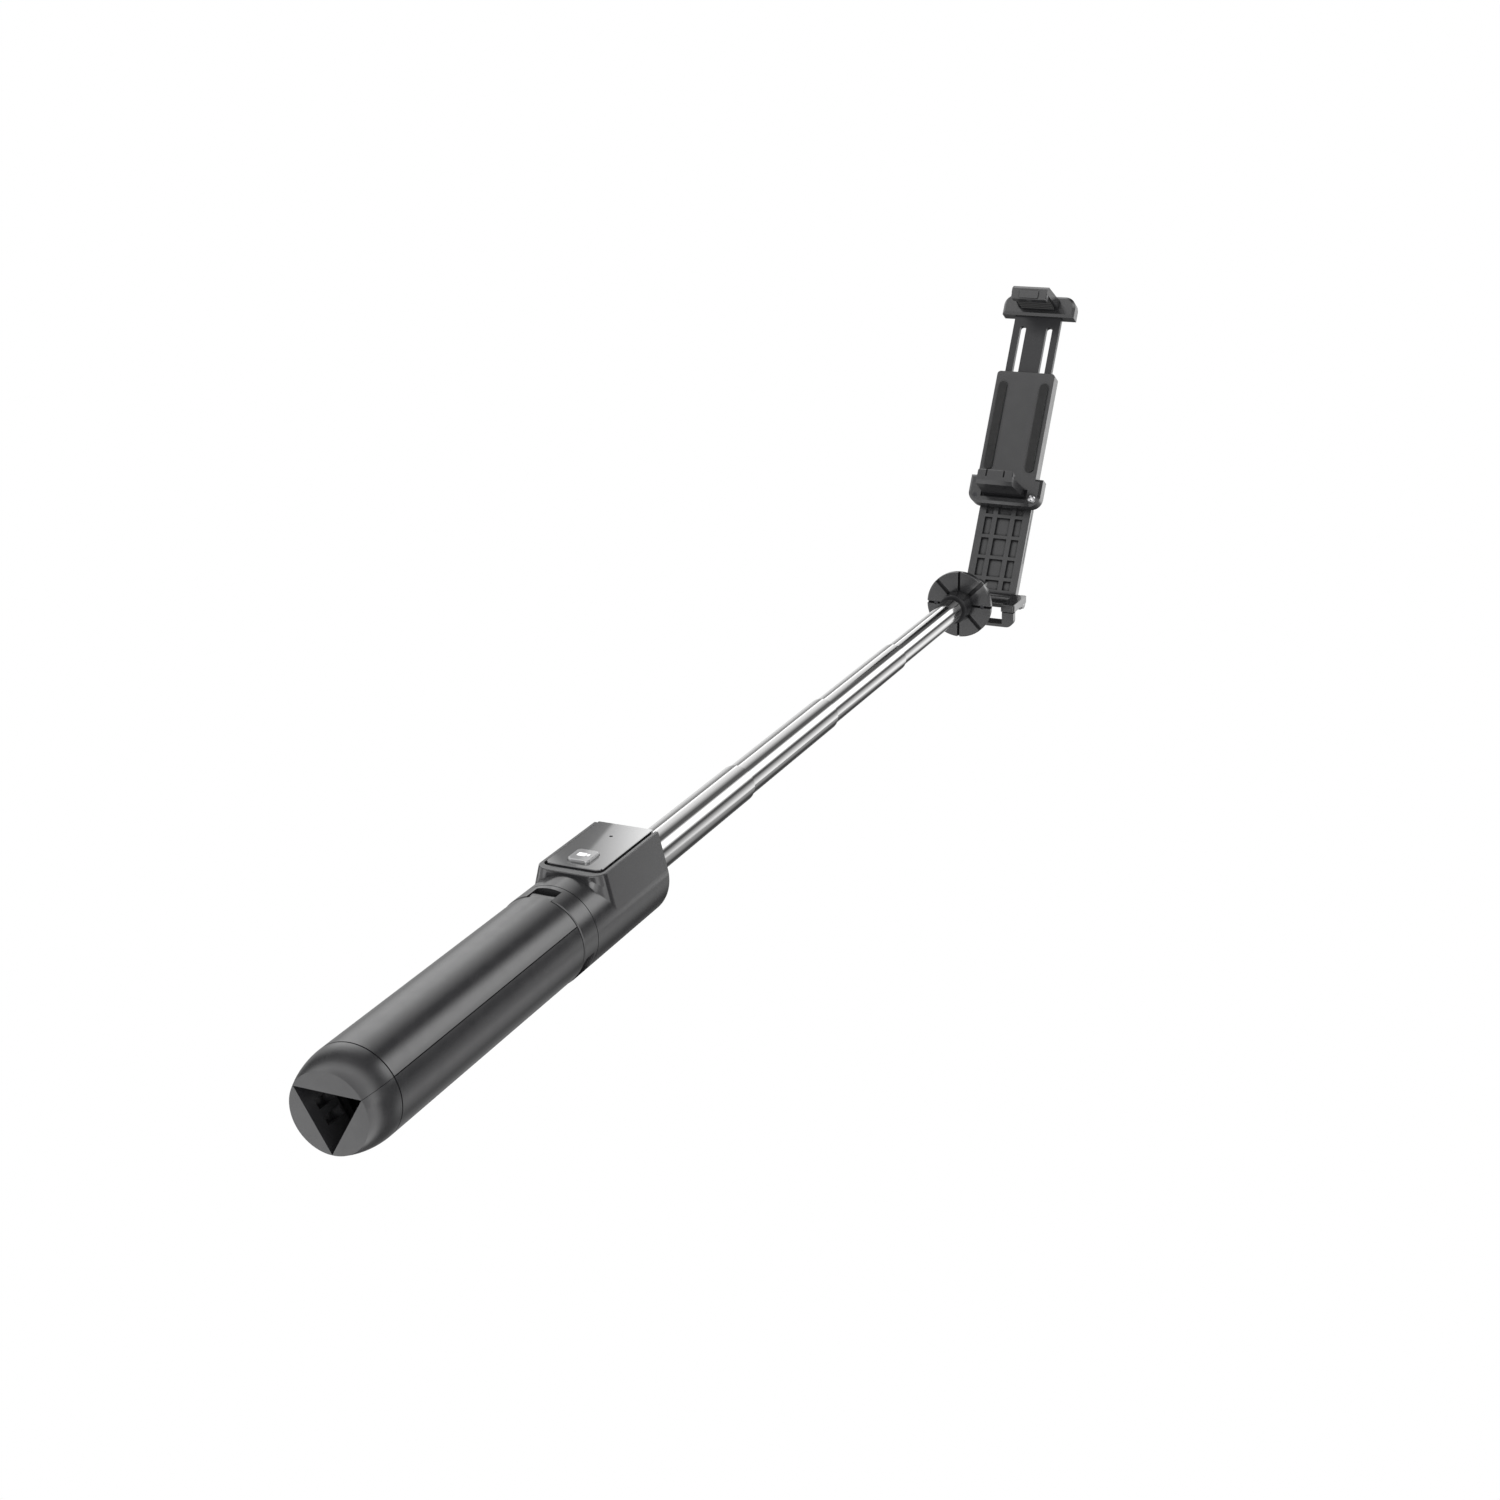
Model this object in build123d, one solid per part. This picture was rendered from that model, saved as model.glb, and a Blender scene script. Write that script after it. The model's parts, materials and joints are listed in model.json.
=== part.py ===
"""Tripod selfie stick: three-leg handle, docked remote, four telescopic tubes and a tilting phone clamp.

Millimetres.  +X is across the stick, +Y runs along it from the foot end to the phone, +Z is up, the side
the remote faces.  Stations (Y) are measured from the foot end while modelling, and the finished pieces are
shifted so that the origin lies on the stick's axis at the middle of the grip.
"""
import os
from math import acos, asin, cos, degrees, radians, sin, sqrt

from build123d import *

# ---- handle: three legs that close into a cylinder -----------------------------------------------------
HANDLE_R = 14.0
LEG_FLAT = 7.12            # distance of a leg's inner flat from the stick's axis
CAP_LENGTH = 11.5          # foot cap, from the flat end face to the joint with the leg
CAP_FACE_R = 11.6          # radius of the flat end face
CAP_FLAT = 5.75            # distance of a cap's inner flat from the axis
CAP_SEAM = 0.06            # half of the gap between two caps
CAP_POCKET_START, CAP_POCKET_END, CAP_POCKET_DEPTH = 4.0, 10.6, 3.6
CAP_POCKET_WIDTH, CAP_POCKET_RIB = 2.7, 1.9
JOINT_GROOVE, JOINT_GROOVE_DEPTH = 0.22, 0.35   # groove round the joint of cap and leg, on each side
LEG_TOP = 107.05
RIM_WALL = 1.0             # raised rim around the leg's top face
RIM_STEP = 0.5
POCKET_DEPTH = 3.5
POCKET_WIDTH = 5.8
POCKET_RIB = 1.6           # rib between the two pockets of a leg
POCKET_FROM, POCKET_TO = 15.5, 93.0
SPIGOT_WIDTH, SPIGOT_LOW, SPIGOT_THICK, SPIGOT_LENGTH = 9.0, 10.0, 1.6, 6.5
SOCKET_GAP = 0.1
LEG_ANGLES = {"a": 0, "b": 120, "c": 240}

# ---- collar and leg hinges -----------------------------------------------------------------------------
COLLAR_START, COLLAR_END, COLLAR_R = 107.5, 115.8, 14.2
COLLAR_CHAMFER = 0.3       # on the edge that a leg swings past
HOUSING_SEAM = 0.3         # gap between collar and housing
COLLAR_SPIGOT_R, COLLAR_SPIGOT_END = 11.5, 124.0
HUB_BORE = 7.15
SLOT_WIDTH, SLOT_TOP, SLOT_FLOOR = 8.0, 113.6, 9.2
HINGE_R, HINGE_Y = 11.4, 110.4
HINGE_PIN_R, HINGE_PIN_HALF = 0.75, 6.2
KNUCKLE_R = 1.9
TONGUE_WIDTH, TONGUE_TOP, TONGUE_R = 7.4, 108.7, 13.8
RUNNING = 0.05             # radial clearance of a pin or a slide
SCREW_RING_R = 9.4         # the three screws' distance from the axis
COLLAR_SCREW_R, COLLAR_SCREW_HEAD_R, COLLAR_SCREW_HEAD_T = 0.9, 1.6, 1.3
SCREW_SLOT_HALF, SCREW_BITE = 0.2, 4.0
COUNTERBORE_GAP = 0.15     # clearance of a screw's head in its counterbore

# ---- housing and dock ----------------------------------------------------------------------------------
HOUSING_R, HOUSING_END = 14.2, 162.0
DOCK_TOP, DOCK_HALF = 15.0, 10.9
DOCK_FRONT, DOCK_CORNER = 123.9, 4.5
FLARE_R, FLARE_START = 8.0, 121.2      # concave foot of the dock's front wall
FLARE_CORNER, FLARE_TOP = 8.0, 14.5
FLARE_SINK = 0.05                      # how far the foot's arc starts behind the front wall
RIM_EDGE = 0.35
REMOTE_FRONT, REMOTE_HALF = 127.2, 9.5
REMOTE_FLOOR, REMOTE_PLATE_Z, REMOTE_TOP = 9.35, 14.3, 15.6
RAIL_LOW, RAIL_HIGH, RAIL_OUT = 10.2, 11.2, 0.7
DOCK_GAP = 0.3
BUTTON_MIDDLE = 134.7
BUTTON_HALF_X, BUTTON_HALF_Y = 3.6, 4.0
BUTTON_RISE, BUTTON_SINK, BUTTON_CORNER = 0.9, 0.9, 1.5
BUTTON_FLANGE = (0.8, 0.7, 0.05)       # its width, and its two faces below the plate
LED_Y, LED_HALF = 152.2, 0.5
PINHOLE_R = 0.55
PCB_Z = (11.4, 12.2)
SWITCH_HALF, SWITCH_T, SWITCH_STEM_R = 2.0, 0.4, 0.9
CELL_Y, CELL_R, CELL_T = 145.0, 6.25, 1.35
TRAY_WALL, TRAY_FLOOR = 1.1, 0.5

# ---- telescopic tubes ----------------------------------------------------------------------------------
TUBE_R = [6.6, 6.05, 5.5, 4.95]
TUBE_WALL = 0.3
TUBE_END = [243.3, 319.1, 391.3, 468.0]
TUBE_START = [140.0, 229.0, 305.0, 377.0]
CRIMP = 2.2                # rolled-in mouth of each outer tube
BUSH_LENGTH, BUSH_T, FIRST_BUSH_T = 6.0, 0.2, 0.25
GUIDE_START, GUIDE_R = 147.0, 8.0

# ---- end disc and head ---------------------------------------------------------------------------------
DISC_Y, DISC_T, DISC_R = 469.0, 2.6, 14.0
SLEEVE_R, SLEEVE_LENGTH = 6.1, 8.0
DISC_GROOVES, DISC_GROOVE_WIDTHS, DISC_GROOVE_DEPTH = 8, (1.0, 1.7), 1.7
RIVET_R, RIVET_X, RIVET_SINK = 0.8, 10.2, 0.3
AXLE_R, AXLE_FLANGE_R = 2.6, 4.4       # on which the head turns in the disc
HEAD_GAP = 0.25
NECK_HALF, NECK_TOP = 4.6, 4.0
STEM_R = 5.2
PLATE_CROSSING = 514.0     # station where the clamp arm's front plane crosses the stick's axis
ARM_TILT = 59.2            # angle between the stick and the clamp arm, as used
PIVOT_Y, PIVOT_Z = 509.0, -8.5
PIN_R, PIN_HEAD_R, PIN_HEAD_T = 1.2, 2.4, 1.2
EAR_IN, EAR_OUT = 12.1, 14.9           # the ears that hold the pin
EAR_R = 3.1
ARM_RAIL = (-10.4, -8.0)               # height span of the bars from the cross wall to the ears
WALL_START, WALL_END = 490.0, 492.8    # cross wall of the head
WALL_OUT, WALL_CORNER = 17.4, 3.4
FLOOR_LOW, FLOOR_HIGH, FLOOR_END = -14.4, -13.1, 497.0
LEVER_IN, LEVER_OUT, LEVER_HUB_R = 15.1, 16.0, 2.6
WING = ((11.9, 17.6), (489.8, 505.2), (-7.6, -4.5))

# ---- clamp arm -----------------------------------------------------------------------------------------
ARM_HALF, ARM_T = 11.7, 3.9
ARM_TOP = 93.0
ARM_KNUCKLE_R = 3.1
GRID_PITCH, GRID_HEIGHT, GRID_DEPTH, GRID_FIRST, GRID_ROWS = 9.4, 7.9, 1.3, 0.3, 8
GRID_FOOT = (-5.4, -1.2)               # short row of cells at the arm's foot
GRID_COLUMNS = [(-6.8, 3.4), (0.0, 6.0), (6.8, 3.4)]

# ---- phone clamp ---------------------------------------------------------------------------------------
CLAMP_HALF = 16.3
CLAMP_LOW, CLAMP_HIGH = 31.5, 92.0
CLAMP_BACK, CLAMP_FRONT = 0.4, 6.5
SWIVEL_V = 80.0
CLAMP_CORNER, CLAMP_BEVEL = 5.0, 1.1
SWIVEL_R, SWIVEL_HEAD_R, SWIVEL_HEAD_T, SWIVEL_GAP = 3.0, 5.0, 1.2, 0.4
JAW_LOW_FACE, JAW_HIGH_FACE = 38.8, 122.0
LIP_IN, LIP_OUT = 20.3, 23.3
LIP_HALF, LIP_HOOK, LIP_BELOW = 8.0, 2.7, 2.3
JAW_ROOT, JAW_THICK = 9.2, 3.6
JAW_HEAD, JAW_FOOT, BASE_HEAD = 6.0, 3.4, 5.2
SCREW_X, SCREW_V, SCREW_R, SCREW_HEAD_R = 12.9, 34.7, 1.0, 1.9
SLIDE_HALF = 10.5
SLIDE_BACK, SLIDE_FRONT = 2.2, 4.4
SLIDE_LOW = 58.0
SLIDE_GAP = 0.3
SLIDE_SLOT_X, SLIDE_SLOT_HALF = 6.0, 1.4
CHANNEL_WALL = 2.6
LIP_GROOVE, LIP_GROOVE_X = 0.7, 3.9
PANEL_HALF = 4.2           # raised panel on the upper lip
PAD_T, PAD_HALF, PAD_RIBS, PAD_PITCH = 0.8, 7.4, 5, 2.0
BACK_PAD_X, BACK_PAD_HALF = 9.4, 1.7

GRIP_MIDDLE = (CAP_LENGTH + LEG_TOP) / 2
ARM_N = (0, -sin(radians(ARM_TILT)), cos(radians(ARM_TILT)))
ARM_PLANE = Plane(origin=(0, PLATE_CROSSING, 0), x_dir=(1, 0, 0), z_dir=ARM_N)


# ---- shape helpers -------------------------------------------------------------------------------------
def rod(radius, start, end, x=0.0, z=0.0):
    """Cylinder along the stick between two stations."""
    return Pos(x, (start + end) / 2, z) * Rot(X=90) * Cylinder(radius, end - start)


def cross_rod(radius, low, high, y, z):
    """Cylinder along X."""
    return Pos((low + high) / 2, y, z) * Rot(Y=90) * Cylinder(radius, high - low)


def block(x, y, z):
    """Box from its three (low, high) spans."""
    size = [high - low for low, high in (x, y, z)]
    middle = [(high + low) / 2 for low, high in (x, y, z)]
    return Pos(*middle) * Box(*size)


def ring(outer, inner, start, end):
    """Tube along the stick."""
    return rod(outer, start, end) - rod(inner, start - 1, end + 1)


def turned(outline):
    """Solid of revolution about the stick from (radius, station) outline edges."""
    return revolve(Plane.XY * make_face(outline), Axis.Y)


def rounded(x, y, z, radius, axis=Axis.Z):
    """Box with its four edges along one axis rounded."""
    body = block(x, y, z)
    return fillet(body.edges().filter_by(axis), radius)


def prism(points, start, end):
    """Extrusion along the stick of an (x, z) outline."""
    face = make_face(Polyline(*points, close=True))
    body = extrude(face, end - start)
    return Pos(0, end, 0) * Rot(X=90) * body


# ---- legs ----------------------------------------------------------------------------------------------
def leg_segment(start, end):
    """Length of the circular-segment leg bar, without its end shapes."""
    bar = rod(HANDLE_R, start, end)
    return bar & block((-HANDLE_R, HANDLE_R), (start - 1, end + 1), (LEG_FLAT, HANDLE_R + 1))


def joint_groove():
    """Ring cutter for the fine groove round the joint of a leg and its cap."""
    return ring(HANDLE_R + 1, HANDLE_R - JOINT_GROOVE_DEPTH, CAP_LENGTH - JOINT_GROOVE,
                CAP_LENGTH + JOINT_GROOVE)


def make_leg_shell():
    """Leg bar with two inner pockets, a hinge tongue at its top and a spigot for its foot cap."""
    leg = leg_segment(CAP_LENGTH, LEG_TOP)
    leg -= rod(HANDLE_R - RIM_WALL, LEG_TOP - RIM_STEP, LEG_TOP + 1)
    pocket_x = (POCKET_RIB + POCKET_WIDTH) / 2
    for side in (-1, 1):
        middle = side * pocket_x
        span = (middle - POCKET_WIDTH / 2, middle + POCKET_WIDTH / 2)
        pocket = block(span, (POCKET_FROM, POCKET_TO), (LEG_FLAT - 1, LEG_FLAT + POCKET_DEPTH))
        leg -= fillet(pocket.edges().filter_by(Axis.Z), 1.2)
    half = TONGUE_WIDTH / 2
    tongue = block((-half, half), (LEG_TOP - 3, TONGUE_TOP), (HINGE_R - KNUCKLE_R, HANDLE_R + 1))
    tongue &= rod(TONGUE_R, LEG_TOP - 4, TONGUE_TOP + 1)
    knuckle = cross_rod(KNUCKLE_R, -half, half, HINGE_Y, HINGE_R)
    neck = block((-half, half), (LEG_TOP - 3, HINGE_Y), (HINGE_R - KNUCKLE_R, HINGE_R + KNUCKLE_R))
    leg += tongue + neck + knuckle
    leg -= cross_rod(HINGE_PIN_R + RUNNING, -half - 1, half + 1, HINGE_Y, HINGE_R)
    leg += block((-SPIGOT_WIDTH / 2, SPIGOT_WIDTH / 2), (CAP_LENGTH - SPIGOT_LENGTH, CAP_LENGTH + 1),
                 (SPIGOT_LOW, SPIGOT_LOW + SPIGOT_THICK))
    return leg - joint_groove()


def cap_sector():
    """Third of the foot end: from the inner flat outwards, between the seams at 60 degrees each side."""
    near = CAP_FLAT * sqrt(3) - 2 * CAP_SEAM
    far = (HANDLE_R + 2) * sqrt(3) - 2 * CAP_SEAM
    outline = [(-near, CAP_FLAT), (near, CAP_FLAT), (far, HANDLE_R + 2), (-far, HANDLE_R + 2)]
    return prism(outline, -1, CAP_LENGTH)


def make_foot_cap():
    """Rounded end of a leg: a large arc from the grip's surface down to the flat end face."""
    drop = HANDLE_R - CAP_FACE_R
    arc_r = (drop ** 2 + CAP_LENGTH ** 2) / (2 * drop)
    arc_middle = asin(CAP_LENGTH / arc_r) / 2
    centre_x = HANDLE_R - arc_r
    middle = (centre_x + arc_r * cos(arc_middle), CAP_LENGTH - arc_r * sin(arc_middle))
    outline = [
        Line((0, 0), (CAP_FACE_R, 0)),
        ThreePointArc((CAP_FACE_R, 0), middle, (HANDLE_R, CAP_LENGTH)),
        Line((HANDLE_R, CAP_LENGTH), (0, CAP_LENGTH)),
        Line((0, CAP_LENGTH), (0, 0)),
    ]
    cap = turned(outline) & cap_sector()
    half = SPIGOT_WIDTH / 2 + SOCKET_GAP
    cap -= block((-half, half), (CAP_LENGTH - SPIGOT_LENGTH - 2 * SOCKET_GAP, CAP_LENGTH + 1),
                 (SPIGOT_LOW - SOCKET_GAP, SPIGOT_LOW + SPIGOT_THICK + SOCKET_GAP))
    for side in (-1, 1):
        middle = side * (CAP_POCKET_RIB + CAP_POCKET_WIDTH) / 2
        cap -= block((middle - CAP_POCKET_WIDTH / 2, middle + CAP_POCKET_WIDTH / 2),
                     (CAP_POCKET_START, CAP_POCKET_END), (CAP_FLAT - 1, CAP_FLAT + CAP_POCKET_DEPTH))
    return cap - joint_groove()


# ---- collar, housing and remote ------------------------------------------------------------------------
def make_leg_collar():
    """Ring between the legs and the housing, with a slot for each leg's hinge tongue."""
    ring_body = rod(COLLAR_R, COLLAR_START, COLLAR_END - HOUSING_SEAM)
    collar = chamfer(ring_body.edges().group_by(Axis.Y)[0], COLLAR_CHAMFER)
    collar += rod(COLLAR_SPIGOT_R, COLLAR_START, COLLAR_SPIGOT_END)
    collar -= rod(HUB_BORE, COLLAR_START - 1, COLLAR_SPIGOT_END + 1)
    slot = block((-SLOT_WIDTH / 2, SLOT_WIDTH / 2), (COLLAR_START - 1, SLOT_TOP),
                 (SLOT_FLOOR, HANDLE_R + 1))
    pin_hole = cross_rod(HINGE_PIN_R, -HINGE_PIN_HALF, HINGE_PIN_HALF, HINGE_Y, HINGE_R)
    screw_hole = rod(COLLAR_SCREW_R + RUNNING, COLLAR_START - 1, COLLAR_SPIGOT_END + 1, z=-SCREW_RING_R)
    screw_hole += rod(COLLAR_SCREW_HEAD_R + COUNTERBORE_GAP, COLLAR_START - 1,
                      COLLAR_START + COLLAR_SCREW_HEAD_T + 0.3, z=-SCREW_RING_R)
    for angle in LEG_ANGLES.values():
        collar -= Rot(Y=angle) * slot
        collar -= Rot(Y=angle) * pin_hole
        collar -= Rot(Y=angle) * screw_hole
    return collar


def make_collar_screw():
    """Pan-head screw that holds the collar to the housing."""
    start = COLLAR_START + 0.2
    head = rod(COLLAR_SCREW_HEAD_R, start, start + COLLAR_SCREW_HEAD_T, z=-SCREW_RING_R)
    head -= block((-1.0, 1.0), (COLLAR_START, start + 0.5),
                  (-SCREW_RING_R - SCREW_SLOT_HALF, -SCREW_RING_R + SCREW_SLOT_HALF))
    return head + rod(COLLAR_SCREW_R, start + 1.2, COLLAR_SPIGOT_END + SCREW_BITE, z=-SCREW_RING_R)


def dock_section():
    """Cross-section of the dock: the flat rim with sides that fall tangent to the housing's cylinder."""
    corner_angle = degrees(acos(DOCK_HALF / sqrt(DOCK_HALF ** 2 + DOCK_TOP ** 2)))
    reach = degrees(acos(HOUSING_R / sqrt(DOCK_HALF ** 2 + DOCK_TOP ** 2)))
    angle = radians(corner_angle - reach)
    side = (HOUSING_R * cos(angle), HOUSING_R * sin(angle))
    return [(-DOCK_HALF, DOCK_TOP), (DOCK_HALF, DOCK_TOP), side, (0, 0), (-side[0], side[1])]


def dock_prism(front, corner):
    """Dock of full height from a station to the housing's end, with rounded near corners."""
    body = prism(dock_section(), front, HOUSING_END)
    near = body.edges().group_by(Axis.Y)[0].sort_by(Axis.X)
    sides = [edge for edge in near if abs(edge.center().X) > DOCK_HALF]
    return fillet(sides, corner)


def flare_space():
    """Round bar of space in front of the dock that turns with the dock's near corners."""
    half = DOCK_HALF - DOCK_CORNER
    start = DOCK_FRONT - FLARE_R + FLARE_SINK
    section = Plane(origin=(half, start, DOCK_TOP), z_dir=(1, 0, 0)) * Circle(FLARE_R)
    turn = Axis((half, DOCK_FRONT + DOCK_CORNER, 0), (0, 0, 1))
    corner = revolve(section, turn, 90)
    return cross_rod(FLARE_R, -half, half, start, DOCK_TOP) + corner + mirror(corner, Plane.YZ)


def make_dock():
    """Raised dock: walls with rounded near corners, a concave foot and an eased rim."""
    high = dock_prism(DOCK_FRONT, DOCK_CORNER)
    rim = high.faces().sort_by(Axis.Z)[-1].edges()
    high = fillet([edge for edge in rim if edge.center().Y < HOUSING_END - 1], RIM_EDGE)
    low = block((-DOCK_TOP, DOCK_TOP), (FLARE_START - 1, DOCK_FRONT + FLARE_CORNER), (0, FLARE_TOP))
    foot = (dock_prism(FLARE_START, FLARE_CORNER) & low) - flare_space()
    return foot + high


def make_housing_body():
    """Round housing with the raised dock, whose pocket is open towards the tubes."""
    body = rod(HOUSING_R, COLLAR_END, HOUSING_END) + make_dock()
    half = REMOTE_HALF + DOCK_GAP
    pocket = block((-half, half), (REMOTE_FRONT - DOCK_GAP, HOUSING_END + 9),
                   (REMOTE_FLOOR - 0.25, DOCK_TOP + 1))
    pocket = fillet(pocket.edges().filter_by(Axis.Z), 2.2)
    rail = half + RAIL_OUT
    pocket += block((-rail, rail), (REMOTE_FRONT + 2, HOUSING_END + 1), (RAIL_LOW - 0.25, RAIL_HIGH + 0.25))
    body -= pocket
    body -= rod(COLLAR_SPIGOT_R + RUNNING, COLLAR_END - 1, COLLAR_SPIGOT_END + 0.2)
    body -= rod(GUIDE_R + RUNNING, COLLAR_END, HOUSING_END + 1)
    screw_hole = rod(COLLAR_SCREW_R + RUNNING, COLLAR_SPIGOT_END - 1, COLLAR_SPIGOT_END + SCREW_BITE + 0.5,
                     z=-SCREW_RING_R)
    for angle in LEG_ANGLES.values():
        body -= Rot(Y=angle) * screw_hole
    return body


def make_guide_bush():
    """Plastic sleeve in the housing that guides the largest tube."""
    sleeve = ring(GUIDE_R, TUBE_R[0] + RUNNING, GUIDE_START, HOUSING_END - 0.4)
    return sleeve


def make_remote_shell():
    """Lower shell of the remote: a tray with side rails that run in the dock's grooves."""
    length = (REMOTE_FRONT, HOUSING_END - 0.2)
    shell = block((-REMOTE_HALF, REMOTE_HALF), length, (REMOTE_FLOOR, REMOTE_PLATE_Z))
    shell = fillet(shell.edges().filter_by(Axis.Z), 2.0)
    rail = REMOTE_HALF + RAIL_OUT
    shell += block((-rail, rail), (REMOTE_FRONT + 3, HOUSING_END - 0.2), (RAIL_LOW, RAIL_HIGH))
    inner = REMOTE_HALF - TRAY_WALL
    tray = block((-inner, inner), (REMOTE_FRONT + TRAY_WALL, length[1] - TRAY_WALL),
                 (REMOTE_FLOOR + TRAY_FLOOR, REMOTE_TOP))
    return shell - fillet(tray.edges().filter_by(Axis.Z), 1.0)


def make_remote_fascia():
    """Glossy top plate with the button's opening and the indicator's pinhole."""
    half = REMOTE_HALF - 0.3
    plate = block((-half, half), (REMOTE_FRONT + 0.3, HOUSING_END - 0.2),
                  (REMOTE_PLATE_Z + 0.02, REMOTE_TOP))
    near = plate.edges().filter_by(Axis.Z).group_by(Axis.Y)[0]
    plate = fillet(near, 2.2)
    plate = chamfer(plate.faces().sort_by(Axis.Z)[-1].edges(), 0.2)
    hole = block((-BUTTON_HALF_X - 0.2, BUTTON_HALF_X + 0.2),
                 (BUTTON_MIDDLE - BUTTON_HALF_Y - 0.2, BUTTON_MIDDLE + BUTTON_HALF_Y + 0.2),
                 (REMOTE_PLATE_Z - 1, REMOTE_TOP + 1))
    plate -= fillet(hole.edges().filter_by(Axis.Z), 1.6)
    return plate - Pos(0, LED_Y, REMOTE_TOP) * Cylinder(PINHOLE_R, 5)


def make_remote_button():
    """Rounded-square shutter button that stands above the plate, on a flange below it."""
    cap = block((-BUTTON_HALF_X, BUTTON_HALF_X),
                (BUTTON_MIDDLE - BUTTON_HALF_Y, BUTTON_MIDDLE + BUTTON_HALF_Y),
                (REMOTE_PLATE_Z - BUTTON_SINK, REMOTE_TOP + BUTTON_RISE))
    cap = fillet(cap.edges().filter_by(Axis.Z), BUTTON_CORNER)
    cap = fillet(cap.faces().sort_by(Axis.Z)[-1].edges(), 0.35)
    wide, low, high = BUTTON_FLANGE
    half_x, half_y = BUTTON_HALF_X + wide, BUTTON_HALF_Y + wide
    flange = block((-half_x, half_x), (BUTTON_MIDDLE - half_y, BUTTON_MIDDLE + half_y),
                   (REMOTE_PLATE_Z - low, REMOTE_PLATE_Z - high))
    return cap + flange


def make_remote_pcb():
    """Circuit board above the cell."""
    inner = REMOTE_HALF - 1.3
    return block((-inner, inner), (REMOTE_FRONT + 1.4, LED_Y + 2.0), PCB_Z)


def make_tact_switch():
    """Switch under the button, with its round stem."""
    body = block((-SWITCH_HALF, SWITCH_HALF), (BUTTON_MIDDLE - SWITCH_HALF, BUTTON_MIDDLE + SWITCH_HALF),
                 (PCB_Z[1], PCB_Z[1] + SWITCH_T))
    return body + Pos(0, BUTTON_MIDDLE, PCB_Z[1] + SWITCH_T + 0.1) * Cylinder(SWITCH_STEM_R, 0.3)


def make_led():
    """Indicator below the pinhole."""
    return block((-LED_HALF, LED_HALF), (LED_Y - LED_HALF, LED_Y + LED_HALF), (PCB_Z[1], PCB_Z[1] + 1.2))


def make_coin_cell():
    """Small coin cell under the board."""
    return Pos(0, CELL_Y, REMOTE_FLOOR + TRAY_FLOOR + 0.7) * Cylinder(CELL_R, CELL_T)


# ---- telescopic tubes ----------------------------------------------------------------------------------
def make_tube(index):
    """Polished tube whose far mouth is rolled in to guide the next one."""
    outer = TUBE_R[index]
    inner = outer - TUBE_WALL
    tube = ring(outer, inner, TUBE_START[index], TUBE_END[index])
    if index + 1 < len(TUBE_R):
        mouth = TUBE_END[index]
        lip = ring(outer - TUBE_WALL / 2, TUBE_R[index + 1] + RUNNING, mouth - CRIMP, mouth)
        tube += lip
        rims = tube.edges().filter_by(GeomType.CIRCLE).group_by(Axis.Y)[-1]
        tube = chamfer(rims.sort_by(SortBy.RADIUS)[-1], 0.2)
    return tube


def make_slide_bush(index):
    """Thin plastic ring on a tube's inner end, which slides in the next tube out."""
    outer = TUBE_R[index] + (FIRST_BUSH_T if index == 0 else BUSH_T)
    return ring(outer, TUBE_R[index], TUBE_START[index], TUBE_START[index] + BUSH_LENGTH)


# ---- end disc and tilting head -------------------------------------------------------------------------
def make_end_disc():
    """Disc with a sleeve over the last tube, eight radial grooves and two rivet holes."""
    disc = rod(DISC_R, DISC_Y, DISC_Y + DISC_T)
    disc = fillet(disc.edges().filter_by(GeomType.CIRCLE), 0.5)
    for step in range(DISC_GROOVES):
        width = DISC_GROOVE_WIDTHS[step % 2]
        groove = block((-width / 2, width / 2), (DISC_Y - 1, DISC_Y + DISC_GROOVE_DEPTH),
                       (SLEEVE_R - 0.5, DISC_R + 1))
        disc -= Rot(Y=360 / DISC_GROOVES * step) * groove
    for side in (-1, 1):
        disc -= rod(RIVET_R, DISC_Y - 1, DISC_Y + DISC_T + 1, x=side * RIVET_X)
    sleeve = rod(SLEEVE_R, DISC_Y - SLEEVE_LENGTH, DISC_Y + DISC_T)
    disc += fillet(sleeve.edges().group_by(Axis.Y)[0], 0.5)
    disc -= rod(TUBE_R[-1], DISC_Y - SLEEVE_LENGTH - 1, TUBE_END[-1])
    return disc - rod(AXLE_R + RUNNING, TUBE_END[-1] - 1, DISC_Y + DISC_T + 1)


def make_disc_rivet(side):
    """Rivet in the disc."""
    return rod(RIVET_R, DISC_Y + RIVET_SINK, DISC_Y + DISC_T - RIVET_SINK, x=side * RIVET_X)


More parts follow.
